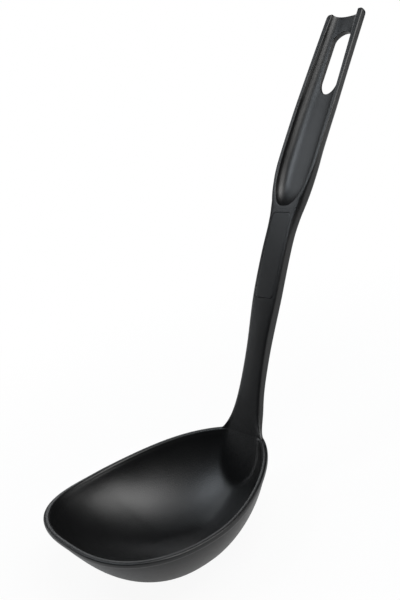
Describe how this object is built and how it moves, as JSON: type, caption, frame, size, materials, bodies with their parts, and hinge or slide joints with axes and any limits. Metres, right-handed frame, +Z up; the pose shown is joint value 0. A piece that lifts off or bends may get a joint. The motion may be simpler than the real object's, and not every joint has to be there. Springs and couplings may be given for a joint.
{
  "type": "kitchen ladle",
  "caption": "One-handed kitchen ladle with an egg-shaped bowl, a leaning shaft with a bare label plate, and a scooped grip with a hanging slot.",
  "frame": {"origin": "middle of the flat foot under the bowl", "axes": "+Z up through the bowl's mouth, +Y from the pouring tip towards the handle, +X to the right seen from the pouring tip"},
  "size_m": [0.0994, 0.2452, 0.224],
  "materials": {
    "body_nylon": "satin moulded nylon, almost black",
    "grip_nylon": "satin moulded nylon, almost black",
    "label_nylon": "fine matt moulded nylon, almost black"
  },
  "bodies": {
    "root": {"bowl_and_shaft": "body_nylon", "handle_grip": "grip_nylon", "label_plate": "label_nylon"}
  },
  "joints": []
}
